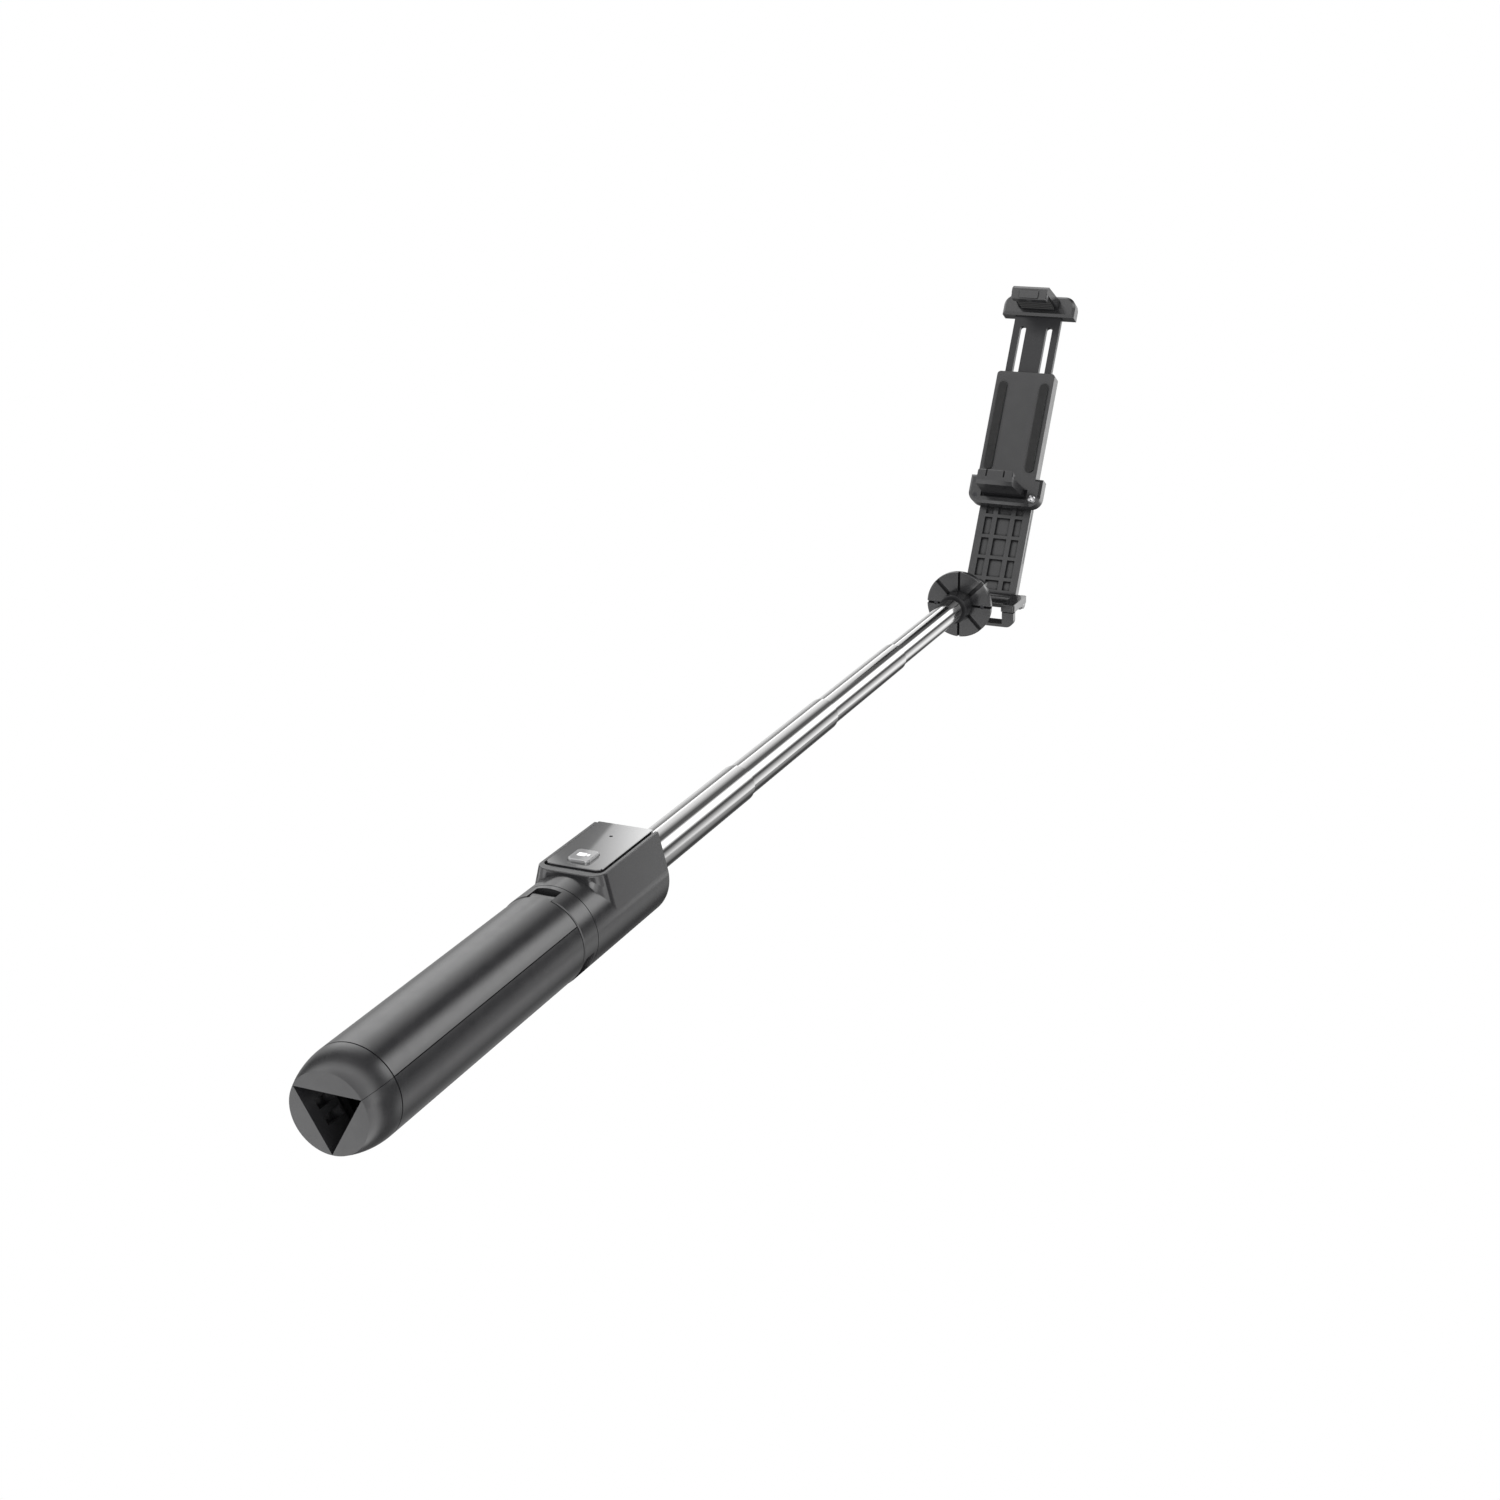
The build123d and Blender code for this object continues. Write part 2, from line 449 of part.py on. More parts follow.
def make_head_yoke():
    """Swivelling head: stem, cross wall and floor, and two bars that end in the ears of the tilt pin."""
    start = DISC_Y + DISC_T + HEAD_GAP
    yoke = rod(AXLE_R, TUBE_END[-1] - 1.5, start + 1)
    yoke += rod(AXLE_FLANGE_R, TUBE_END[-1] - 3.0, TUBE_END[-1] - HEAD_GAP)
    stem = rod(STEM_R, start, WALL_END)
    yoke += fillet(stem.edges().group_by(Axis.Y)[0], 0.6)
    yoke += block((-NECK_HALF, NECK_HALF), (WALL_START - 4, WALL_END), (FLOOR_LOW, NECK_TOP))
    yoke += block((-WALL_OUT + 4, WALL_OUT - 4), (WALL_START, FLOOR_END), (FLOOR_LOW, FLOOR_HIGH))
    for side in (-1, 1):
        wall_span = sorted((side * (EAR_IN + 0.2), side * WALL_OUT))
        wall = block(wall_span, (WALL_START, WALL_END), (FLOOR_LOW, ARM_RAIL[1]))
        corner = wall.edges().filter_by(Axis.Y).group_by(Axis.Z)[0].sort_by(Axis.X)[-1 if side > 0 else 0]
        yoke += fillet(corner, WALL_CORNER)
        span = sorted((side * EAR_IN, side * EAR_OUT))
        yoke += block(span, (WALL_START + 0.5, PIVOT_Y), ARM_RAIL)
        yoke += cross_rod(EAR_R, span[0], span[1], PIVOT_Y, PIVOT_Z)
    return yoke - cross_rod(PIN_R, -EAR_OUT - 1, EAR_OUT + 1, PIVOT_Y, PIVOT_Z)


def make_tilt_pin():
    """Pin through the ears and the arm's knuckle, with a head at the left."""
    pin = cross_rod(PIN_R, -EAR_OUT, LEVER_OUT, PIVOT_Y, PIVOT_Z)
    head = cross_rod(PIN_HEAD_R, -EAR_OUT - PIN_HEAD_T, -EAR_OUT, PIVOT_Y, PIVOT_Z)
    return pin + fillet(head.edges().group_by(Axis.X)[0], 0.5)


def make_tilt_lever():
    """Clamping lever on the pin's right end: a flat wing that lies over the ear's bar."""
    x, y, z = WING
    wing = block(x, y, z)
    near_corner = wing.edges().filter_by(Axis.Z).group_by(Axis.Y)[0].sort_by(Axis.X)[-1]
    wing = fillet(near_corner, 1.2)
    wing += block((LEVER_IN, x[1]), (y[1] - 1, y[1] + 1.9), z)
    wing = chamfer(wing.faces().sort_by(Axis.Z)[-1].edges(), 0.3)
    lever = wing + block((LEVER_IN, LEVER_OUT), (y[1] - 1, PIVOT_Y), (PIVOT_Z - 1.2, z[1] - 0.8))
    lever += cross_rod(LEVER_HUB_R, LEVER_IN, LEVER_OUT, PIVOT_Y, PIVOT_Z)
    return lever - cross_rod(PIN_R + RUNNING, LEVER_IN - 1, LEVER_OUT + 1, PIVOT_Y, PIVOT_Z)


# ---- clamp arm, in its own plane: x across, y up the arm, z out of its front ----------------------------
def pivot_in_arm():
    """The tilt pin's place in the arm's plane."""
    ahead = PIVOT_Y - PLATE_CROSSING
    up = ahead * cos(radians(ARM_TILT)) + PIVOT_Z * sin(radians(ARM_TILT))
    out = -ahead * sin(radians(ARM_TILT)) + PIVOT_Z * cos(radians(ARM_TILT))
    return up, out


def grid_rows():
    """Height spans of the grid's rows, from the short one at the foot upwards."""
    rows = [GRID_FOOT]
    for row in range(GRID_ROWS):
        low = GRID_FIRST + row * GRID_PITCH
        rows.append((low, low + GRID_HEIGHT))
    return rows


def make_arm_plate():
    """Flat arm with a grid of shallow pockets in its front and a knuckle at its foot."""
    up, out = pivot_in_arm()
    plate = rounded((-ARM_HALF, ARM_HALF), (up, ARM_TOP), (-ARM_T, 0), 1.0)
    plate += cross_rod(ARM_KNUCKLE_R, -ARM_HALF, ARM_HALF, up, out)
    for low, high in grid_rows():
        for middle, width in GRID_COLUMNS:
            plate -= block((middle - width / 2, middle + width / 2), (low, high), (-GRID_DEPTH, 1))
    for side in (-1, 1):
        plate -= block((side * ARM_HALF - 0.5, side * ARM_HALF + 0.5), (8, ARM_TOP - 4), (-2.5, -1.9))
    plate -= cross_rod(PIN_R + RUNNING, -ARM_HALF - 1, ARM_HALF + 1, up, out)
    return plate - Pos(0, SWIVEL_V, 0) * Cylinder(SWIVEL_R, 3 * ARM_T)


def make_swivel_pin():
    """Rivet that the clamp turns on, held in the arm."""
    front = SLIDE_BACK - SWIVEL_GAP
    shank = Pos(0, SWIVEL_V, (front - ARM_T) / 2) * Cylinder(SWIVEL_R, ARM_T + front)
    head = Pos(0, SWIVEL_V, -ARM_T - SWIVEL_HEAD_T / 2) * Cylinder(SWIVEL_HEAD_R, SWIVEL_HEAD_T)
    return shank + fillet(head.edges().group_by(Axis.Z)[0], 0.5)


# ---- phone clamp ---------------------------------------------------------------------------------------
def carriage(low, high, bottom):
    """Thick end of the clamp that carries a jaw, with large corners on its outer end."""
    body = block((-CLAMP_HALF, CLAMP_HALF), (low, high), (CLAMP_BACK, CLAMP_FRONT))
    corners = body.edges().filter_by(Axis.Z).group_by(Axis.Y)[0 if bottom else -1]
    body = fillet(corners, CLAMP_CORNER)
    return chamfer(body.faces().sort_by(Axis.Z)[-1].edges(), CLAMP_BEVEL)


def make_jaw(face_v, direction):
    """Jaw arm that leaves the carriage and hooks over the phone's front; direction is +1 for the lower."""
    back = CLAMP_FRONT - 1.5
    outline = Polyline((-JAW_ROOT, back), (JAW_ROOT, back), (LIP_HALF, LIP_OUT), (-LIP_HALF, LIP_OUT),
                       close=True)
    slab = Rot(X=90) * extrude(make_face(outline), JAW_THICK)
    low = face_v - JAW_THICK if direction > 0 else face_v
    slab = Pos(0, low + JAW_THICK, 0) * slab
    under = face_v - direction * JAW_THICK
    slab -= Pos(0, under, LIP_OUT) * Rot(X=45) * Box(4 * LIP_HALF, 2.0, 2.0)
    tip = face_v + direction * LIP_HOOK
    far = face_v - direction * LIP_BELOW
    lip = block((-LIP_HALF, LIP_HALF), (min(tip, far), max(tip, far)), (LIP_IN, LIP_OUT))
    lip = fillet(lip.edges().filter_by(Axis.Z), 0.7)
    lip = chamfer(lip.faces().sort_by(Axis.Z)[-1].edges(), 0.3)
    return slab + lip


def make_clamp_base():
    """Fixed half of the clamp: lower jaw and the channel in which the upper jaw's plate slides."""
    base = carriage(CLAMP_LOW, JAW_LOW_FACE + BASE_HEAD, True)
    channel = SLIDE_HALF + CHANNEL_WALL
    base += rounded((-channel, channel), (CLAMP_LOW + 6, CLAMP_HIGH),
                    (CLAMP_BACK, CLAMP_FRONT), 1.5)
    recess = block((-JAW_ROOT - 1.2, JAW_ROOT + 1.2), (JAW_LOW_FACE - JAW_THICK - 0.9, JAW_LOW_FACE),
                   (CLAMP_FRONT - 1.4, CLAMP_FRONT + 1))
    base -= recess
    base += make_jaw(JAW_LOW_FACE, 1)
    for side in (-1, 1):
        middle = side * LIP_GROOVE_X
        base -= block((middle - LIP_GROOVE / 2, middle + LIP_GROOVE / 2),
                      (JAW_LOW_FACE - 0.4, JAW_LOW_FACE + 4),
                      (LIP_OUT - 0.6, LIP_OUT + 1))
    slide = SLIDE_HALF + SLIDE_GAP
    base -= block((-slide, slide), (JAW_LOW_FACE - 5, CLAMP_HIGH + 1),
                  (SLIDE_BACK - SLIDE_GAP, SLIDE_FRONT + SLIDE_GAP))
    base -= Pos(0, SWIVEL_V, CLAMP_BACK) * Cylinder(SWIVEL_R + RUNNING, 3)
    for side in (-1, 1):
        base -= Pos(side * SCREW_X, SCREW_V, CLAMP_FRONT) * Cylinder(SCREW_R, 4)
    return base


def make_clamp_screw(side):
    """Small screw in a corner of the clamp's lower end: domed at the right, sunk at the left."""
    place = Pos(side * SCREW_X, SCREW_V, CLAMP_FRONT)
    shank = place * Pos(0, 0, -0.9) * Cylinder(SCREW_R, 1.8)
    if side < 0:
        return shank
    head = place * Pos(0, 0, 0.05) * Cylinder(SCREW_HEAD_R, 0.1)
    dome = (place * Sphere(SCREW_HEAD_R)) & block((0, 20), (0, CLAMP_HIGH), (CLAMP_FRONT, CLAMP_FRONT + 2))
    return shank + head + dome


def make_upper_jaw():
    """Sliding half of the clamp: carriage and the upper jaw with a raised panel."""
    jaw = carriage(JAW_HIGH_FACE - JAW_FOOT, JAW_HIGH_FACE + JAW_HEAD, False)
    jaw += make_jaw(JAW_HIGH_FACE, -1)
    panel = block((-PANEL_HALF, PANEL_HALF), (JAW_HIGH_FACE - 2.3, JAW_HIGH_FACE + 1.2),
                  (LIP_OUT - 0.5, LIP_OUT + 0.45))
    jaw += fillet(panel.edges().filter_by(Axis.Z), 0.4)
    return jaw - slide_plate()


def slide_plate():
    """Outline of the plate that carries the upper jaw."""
    return block((-SLIDE_HALF, SLIDE_HALF), (SLIDE_LOW, JAW_HIGH_FACE + JAW_HEAD - 1.5),
                 (SLIDE_BACK, SLIDE_FRONT))


def make_jaw_slide():
    """Metal plate that carries the upper jaw, slotted for the swivel."""
    plate = slide_plate()
    for side in (-1, 1):
        middle = side * SLIDE_SLOT_X
        plate -= rounded((middle - SLIDE_SLOT_HALF, middle + SLIDE_SLOT_HALF),
                         (SLIDE_LOW + 4, JAW_HIGH_FACE - 8), (0, 9), SLIDE_SLOT_HALF - 0.1)
    return plate


def make_jaw_pad(face_v, direction):
    """Ribbed rubber pad on a jaw's gripping face."""
    low, high = CLAMP_FRONT + 1.2, LIP_IN - 0.6
    pad = block((-PAD_HALF, PAD_HALF), (face_v, face_v + direction * PAD_T)[::direction], (low, high))
    for step in range(PAD_RIBS):
        middle = low + 1.6 + step * PAD_PITCH
        pad -= block((-8, 8), sorted((face_v + direction * 0.45, face_v + direction * 1.5)),
                     (middle - 0.3, middle + 0.3))
    return pad


def make_back_pad(side):
    """Rubber strip on the clamp's front, against the phone's back."""
    middle = side * BACK_PAD_X
    return rounded((middle - BACK_PAD_HALF, middle + BACK_PAD_HALF), (JAW_LOW_FACE + 8, CLAMP_HIGH - 5),
                   (CLAMP_FRONT, CLAMP_FRONT + PAD_T), BACK_PAD_HALF - 0.1)


# ---- all pieces ----------------------------------------------------------------------------------------
def stick_pieces():
    """Pieces placed along the stick."""
    pieces = {
        "housing_body": make_housing_body(),
        "leg_collar": make_leg_collar(),
        "tube_guide_bush": make_guide_bush(),
        "remote_shell": make_remote_shell(),
        "remote_fascia": make_remote_fascia(),
        "remote_button": make_remote_button(),
        "remote_pcb": make_remote_pcb(),
        "tact_switch": make_tact_switch(),
        "remote_led": make_led(),
        "coin_cell": make_coin_cell(),
        "end_disc": make_end_disc(),
        "disc_rivet_left": make_disc_rivet(-1),
        "disc_rivet_right": make_disc_rivet(1),
        "head_yoke": make_head_yoke(),
        "tilt_pin": make_tilt_pin(),
        "tilt_lever": make_tilt_lever(),
    }
    leg_shell = make_leg_shell()
    foot_cap = make_foot_cap()
    leg_pin = cross_rod(HINGE_PIN_R, -HINGE_PIN_HALF, HINGE_PIN_HALF, HINGE_Y, HINGE_R)
    for name, angle in LEG_ANGLES.items():
        pieces[f"leg_shell_{name}"] = Rot(Y=angle) * leg_shell
        pieces[f"foot_cap_{name}"] = Rot(Y=angle) * foot_cap
        pieces[f"leg_pin_{name}"] = Rot(Y=angle) * leg_pin
        pieces[f"collar_screw_{name}"] = Rot(Y=angle) * make_collar_screw()
    for index in range(len(TUBE_R)):
        pieces[f"tube_section_{index + 1}"] = make_tube(index)
        pieces[f"slide_bush_{index + 1}"] = make_slide_bush(index)
    return pieces


def arm_pieces():
    """Pieces placed in the arm's plane."""
    return {
        "arm_plate": make_arm_plate(),
        "swivel_pin": make_swivel_pin(),
        "clamp_base": make_clamp_base(),
        "clamp_screw_left": make_clamp_screw(-1),
        "clamp_screw_right": make_clamp_screw(1),
        "back_pad_left": make_back_pad(-1),
        "back_pad_right": make_back_pad(1),
        "lower_jaw_pad": make_jaw_pad(JAW_LOW_FACE, 1),
        "upper_jaw": make_upper_jaw(),
        "upper_jaw_pad": make_jaw_pad(JAW_HIGH_FACE, -1),
        "jaw_slide": make_jaw_slide(),
    }


def main():
    os.makedirs("parts", exist_ok=True)
    shift = Pos(0, -GRIP_MIDDLE, 0)
    pieces = stick_pieces()
    pieces.update({name: ARM_PLANE.location * shape for name, shape in arm_pieces().items()})
    for name, shape in pieces.items():
        export_step(shift * shape, f"parts/{name}.step")


main()
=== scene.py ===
"""Looks for the tripod selfie stick: materials, the button's mark, studio, camera."""
import json
import math

import bmesh
import bpy
from mathutils import Matrix, Vector


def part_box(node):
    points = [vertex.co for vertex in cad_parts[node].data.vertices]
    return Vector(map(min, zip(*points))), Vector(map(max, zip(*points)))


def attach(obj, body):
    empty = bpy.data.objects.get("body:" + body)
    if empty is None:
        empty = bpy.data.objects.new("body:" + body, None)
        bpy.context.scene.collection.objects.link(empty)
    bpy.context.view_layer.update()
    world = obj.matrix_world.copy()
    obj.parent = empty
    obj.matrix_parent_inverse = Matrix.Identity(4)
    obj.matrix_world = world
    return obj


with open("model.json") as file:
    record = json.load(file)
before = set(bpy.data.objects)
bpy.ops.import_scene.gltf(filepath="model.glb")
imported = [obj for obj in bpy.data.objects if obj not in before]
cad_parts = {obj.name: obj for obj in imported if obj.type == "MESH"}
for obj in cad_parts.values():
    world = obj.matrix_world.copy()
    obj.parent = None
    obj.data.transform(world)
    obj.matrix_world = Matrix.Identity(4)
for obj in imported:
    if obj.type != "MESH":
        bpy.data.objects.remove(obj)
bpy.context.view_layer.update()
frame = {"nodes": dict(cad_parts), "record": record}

MM = 0.001
NODES = frame["nodes"]
RECORD = frame["record"]

# ---- camera --------------------------------------------------------------------------------------------
CAMERA_PLACE = Vector((0.3012, -0.4711, 0.2763))
CAMERA_FORWARD = Vector((-0.3869, 0.8555, -0.3442))
CAMERA_RIGHT = Vector((0.9133, 0.4070, -0.0152))
FOCAL_RATIO = 23 / 15          # focal length over the frame's width
SENSOR = 36.0


def make_camera():
    """Camera that looks along the stick from the feet's end."""
    data = bpy.data.cameras.new("camera")
    data.sensor_width = SENSOR
    data.lens = SENSOR * FOCAL_RATIO
    camera = bpy.data.objects.new("camera", data)
    bpy.context.scene.collection.objects.link(camera)
    forward = CAMERA_FORWARD.normalized()
    right = (CAMERA_RIGHT - forward * CAMERA_RIGHT.dot(forward)).normalized()
    up = right.cross(forward)
    turn = Matrix((right, up, -forward)).transposed()
    camera.matrix_world = Matrix.Translation(CAMERA_PLACE) @ turn.to_4x4()
    bpy.context.scene.camera = camera


# ---- material helpers ----------------------------------------------------------------------------------
SOCKETS = {
    "roughness": "Roughness",
    "metallic": "Metallic",
    "specular": "Specular IOR Level",
    "coat": "Coat Weight",
    "coat_roughness": "Coat Roughness",
    "coat_ior": "Coat IOR",
    "sheen": "Sheen Weight",
    "emission": "Emission Color",
    "glow": "Emission Strength",
}
TEXTURE_SPREAD = (0.3, 0.7)     # the part of a noise texture's range that is used
# painted shade in grooves, seams and pockets: an occlusion term lowers the plastics' specular level there
PAINTED_SHADE_REACH = 1.6 * MM
PAINTED_SHADE_OPENNESS = (0.45, 0.92)  # share of open sky: no reflection at the first, all of it at the second


class Nodes:
    """Short way to build a node material: the shader's constants go on its own sockets."""

    def __init__(self, name):
        self.material = bpy.data.materials.new(name)
        self.material.use_nodes = True
        self.tree = self.material.node_tree
        self.shader = self.tree.nodes["Principled BSDF"]

    def add(self, kind, **settings):
        node = self.tree.nodes.new(kind)
        for key, value in settings.items():
            if hasattr(node, key):
                setattr(node, key, value)
            else:
                node.inputs[key.replace("_", " ").title()].default_value = value
        return node

    def link(self, out_node, out_name, in_node, in_name):
        self.tree.links.new(out_node.outputs[out_name], in_node.inputs[in_name])

    def set(self, **values):
        for key, value in values.items():
            socket = self.shader.inputs[SOCKETS[key]]
            socket.default_value = (*value, 1) if isinstance(value, tuple) else value

    def noise(self, scale, detail=2.0):
        place = self.add("ShaderNodeTexCoord")
        texture = self.add("ShaderNodeTexNoise", scale=scale, detail=detail)
        self.link(place, "Object", texture, "Vector")
        return texture

    def vary(self, texture, low, high, socket):
        """Spread a texture's value between two numbers on one of the shader's sockets."""
        ramp = self.add("ShaderNodeMapRange")
        ramp.inputs["From Min"].default_value = TEXTURE_SPREAD[0]
        ramp.inputs["From Max"].default_value = TEXTURE_SPREAD[1]
        ramp.inputs["To Min"].default_value = low
        ramp.inputs["To Max"].default_value = high
        self.link(texture, "Fac", ramp, "Value")
        self.link(ramp, "Result", self.shader, socket)

    def tint(self, texture, dark, light):
        """Slow change of the base colour between two close tones."""
        mix = self.add("ShaderNodeMix", data_type="RGBA")
        mix.inputs[6].default_value = (*dark, 1)
        mix.inputs[7].default_value = (*light, 1)
        self.tree.links.new(texture.outputs["Fac"], mix.inputs[0])
        self.tree.links.new(mix.outputs[2], self.shader.inputs["Base Color"])

    def paint_shade_in_recesses(self, reach, specular):
        """Painted shade: grooves, seams and pockets narrower than the reach get their specular level
        lowered by an occlusion term, so they come out darker than the light alone makes them.
        """
        openness = self.add("ShaderNodeAmbientOcclusion", samples=8, distance=reach)
        level = self.add("ShaderNodeMapRange")
        level.inputs["From Min"].default_value = PAINTED_SHADE_OPENNESS[0]
        level.inputs["From Max"].default_value = PAINTED_SHADE_OPENNESS[1]
        level.inputs["To Max"].default_value = specular
        self.link(openness, "AO", level, "Value")
        self.link(level, "Result", self.shader, "Specular IOR Level")
        return level

    def bump(self, texture, depth, strength=1.0, channel="Fac"):
        """Surface grain of a real depth in metres."""
        node = self.add("ShaderNodeBump")
        node.inputs["Strength"].default_value = strength
        node.inputs["Distance"].default_value = depth
        self.link(texture, channel, node, "Height")
        self.link(node, "Normal", self.shader, "Normal")


# ---- materials -----------------------------------------------------------------------------------------
def plastic_surface(nodes, tone, roughness, grain_scale, grain_depth):
    """Spark-eroded plastic: fine grain, slow roughness change, slight colour change."""
    nodes.tint(nodes.noise(60.0), tuple(c * 0.92 for c in tone), tuple(c * 1.08 for c in tone))
    nodes.vary(nodes.noise(220.0), roughness - 0.03, roughness + 0.03, "Roughness")
    nodes.bump(nodes.noise(grain_scale, 3.0), grain_depth, 0.6)


def moulded(name, tone, roughness, grain_scale, grain_depth, specular=0.5):
    """Moulded plastic with one finish all over."""
    nodes = Nodes(name)
    plastic_surface(nodes, tone, roughness, grain_scale, grain_depth)
    # painted shade: less reflection in recesses, from an occlusion term
    nodes.paint_shade_in_recesses(PAINTED_SHADE_REACH, specular)
    return nodes.material


def disc_plastic(name, face):
    """The end disc's plastic: satin on the disc, dull on the sleeve that ends at the disc's face."""
    nodes = Nodes(name)
    plastic_surface(nodes, BODY_TONE, SATIN_ROUGHNESS, SATIN_GRAIN, SATIN_GRAIN_DEPTH)
    # painted shade: less reflection in recesses, from an occlusion term
    level = nodes.paint_shade_in_recesses(PAINTED_SHADE_REACH, 1.0)
    along = nodes.add("ShaderNodeSeparateXYZ")
    nodes.link(nodes.add("ShaderNodeTexCoord"), "Object", along, "Vector")
    finish = nodes.add("ShaderNodeMapRange")
    finish.inputs["From Min"].default_value = face - SLEEVE_BLEND
    finish.inputs["From Max"].default_value = face
    finish.inputs["To Min"].default_value = SLEEVE_SPECULAR
    nodes.link(along, "Y", finish, "Value")
    nodes.link(finish, "Result", level, "To Max")
    return nodes.material


def gloss(name, tone):
    """Polished plastic under a clear hard coat."""
    nodes = Nodes(name)
    nodes.set(roughness=0.08, coat=1.0, coat_roughness=0.02, coat_ior=2.3, specular=0.9)
    nodes.tint(nodes.noise(90.0), tuple(c * 0.9 for c in tone), tone)
    nodes.bump(nodes.noise(140.0), 0.000002, 0.15)
    return nodes.material


def polished_steel(name):
    """Drawn and polished tube: faint lengthwise polishing lines and small roughness change."""
    nodes = Nodes(name)
    nodes.set(metallic=1.0, specular=0.5)
    place = nodes.add("ShaderNodeTexCoord")
    stretch = nodes.add("ShaderNodeMapping")
    stretch.inputs["Scale"].default_value = (1.0, 0.02, 1.0)
    lines = nodes.add("ShaderNodeTexNoise", scale=2600.0, detail=3.0)
    nodes.link(place, "Object", stretch, "Vector")
    nodes.link(stretch, "Vector", lines, "Vector")
    nodes.tint(nodes.noise(25.0), (0.47, 0.467, 0.465), (0.53, 0.527, 0.525))
    nodes.vary(lines, 0.07, 0.13, "Roughness")
    nodes.bump(lines, 0.000002, 0.25)
    return nodes.material


def turned_metal(name, tone, roughness):
    """Small turned or blackened metal parts."""
    nodes = Nodes(name)
    nodes.set(metallic=1.0)
    nodes.tint(nodes.noise(400.0), tuple(c * 0.85 for c in tone), tone)
    nodes.vary(nodes.noise(900.0), roughness - 0.05, roughness + 0.05, "Roughness")
    nodes.bump(nodes.noise(2500.0), 0.00001, 0.4)
    return nodes.material


def rubber(name):
    """Soft pad: dull with a mild sheen and a fine pebble."""
    nodes = Nodes(name)
    nodes.set(sheen=0.15, specular=0.35)
    nodes.tint(nodes.noise(300.0), (0.018, 0.018, 0.018), (0.028, 0.028, 0.028))
    nodes.vary(nodes.noise(500.0), 0.62, 0.75, "Roughness")
    pebble = nodes.add("ShaderNodeTexVoronoi", scale=2200.0)
    nodes.link(nodes.add("ShaderNodeTexCoord"), "Object", pebble, "Vector")
    nodes.bump(pebble, 0.00002, 0.5, "Distance")
    return nodes.material


def solder_mask(name):
    """Green board lacquer."""
    nodes = Nodes(name)
    nodes.set(coat=0.5, coat_roughness=0.2)
    nodes.tint(nodes.noise(800.0), (0.01, 0.10, 0.04), (0.015, 0.15, 0.06))
    nodes.vary(nodes.noise(900.0), 0.3, 0.4, "Roughness")
    return nodes.material


def clear_lens(name):
    """Milky indicator lens."""
    nodes = Nodes(name)
    nodes.set(roughness=0.2)
    nodes.tint(nodes.noise(1500.0), (0.5, 0.52, 0.55), (0.62, 0.64, 0.66))
    return nodes.material


def glowing_white_print(name):
    """Printed mark on the button, with a painted glow: it emits a little light of its own, though it is no
    lamp, to come out whiter.
    """
    nodes = Nodes(name)
    nodes.tint(nodes.noise(3000.0), (0.82, 0.82, 0.82), (0.9, 0.9, 0.9))
    nodes.vary(nodes.noise(2000.0), 0.4, 0.5, "Roughness")
    # painted glow: the print emits light to look whiter than the lamps make it
    nodes.set(emission=(1.0, 1.0, 1.0), glow=0.5)
    return nodes.material


BODY_TONE = (0.024, 0.024, 0.0255)
SATIN_ROUGHNESS = 0.2
SATIN_GRAIN = 5200.0
SATIN_GRAIN_DEPTH = 0.000006
SLEEVE_SPECULAR = 0.2
SLEEVE_LENGTH = 8.0 * MM
SLEEVE_BLEND = 0.2 * MM
MATERIALS = {
    "satin_black": moulded("satin_black", BODY_TONE, SATIN_ROUGHNESS, SATIN_GRAIN, SATIN_GRAIN_DEPTH, 1.0),
    "foot_plastic": moulded("foot_plastic", BODY_TONE, 0.22, SATIN_GRAIN, SATIN_GRAIN_DEPTH, 1.0),
    "dark_nylon": moulded("dark_nylon", (0.012, 0.012, 0.013), 0.5, 3000.0, 0.00001),
    "steel": turned_metal("steel", (0.62, 0.62, 0.63), 0.28),
    "dark_screw": turned_metal("dark_screw", (0.07, 0.07, 0.075), 0.35),
    "dark_plate": moulded("dark_plate", (0.03, 0.03, 0.032), 0.3, 2600.0, 0.000008),
    "rubber": rubber("rubber"),
    "gloss_black": gloss("gloss_black", (0.03, 0.03, 0.032)),
    "gloss_button": gloss("gloss_button", (0.33, 0.33, 0.335)),
    "circuit_board": solder_mask("circuit_board"),
    "led_lens": clear_lens("led_lens"),
    "polished_tube": polished_steel("polished_tube"),
}


def dress_nodes():
    """Give every CAD node the material of its slot."""
    for part in RECORD["subparts"]:
        mesh = NODES[part["node"]].data
        mesh.materials.clear()
        mesh.materials.append(MATERIALS[part["material_slot"]])


def dress_end_disc():
    """Two finishes on the end disc, parted where its sleeve meets its face."""
    disc = NODES["end_disc"]
    face = disc.matrix_world.inverted() @ Vector((0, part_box("end_disc")[0].y + SLEEVE_LENGTH, 0))
    disc.data.materials[0] = disc_plastic("disc_plastic", face.y)


# ---- the button's mark ---------------------------------------------------------------------------------
def link_mesh(name, builder, material):
    """Mesh object from a bmesh-building function."""
    mesh = bpy.data.meshes.new(name)
    shape = bmesh.new()
    builder(shape)
    shape.to_mesh(mesh)
    shape.free()
    mesh.materials.append(material)
    piece = bpy.data.objects.new(name, mesh)
    bpy.context.scene.collection.objects.link(piece)
    return piece


def slab(shape, outline, low, high):
    """Closed prism of an (x, y) outline."""
    bottom = [shape.verts.new((x, y, low)) for x, y in outline]
    top = [shape.verts.new((x, y, high)) for x, y in outline]
    shape.faces.new(list(reversed(bottom)))
    shape.faces.new(top)
    count = len(outline)
    for i in range(count):
        j = (i + 1) % count
        shape.faces.new((bottom[i], bottom[j], top[j], top[i]))


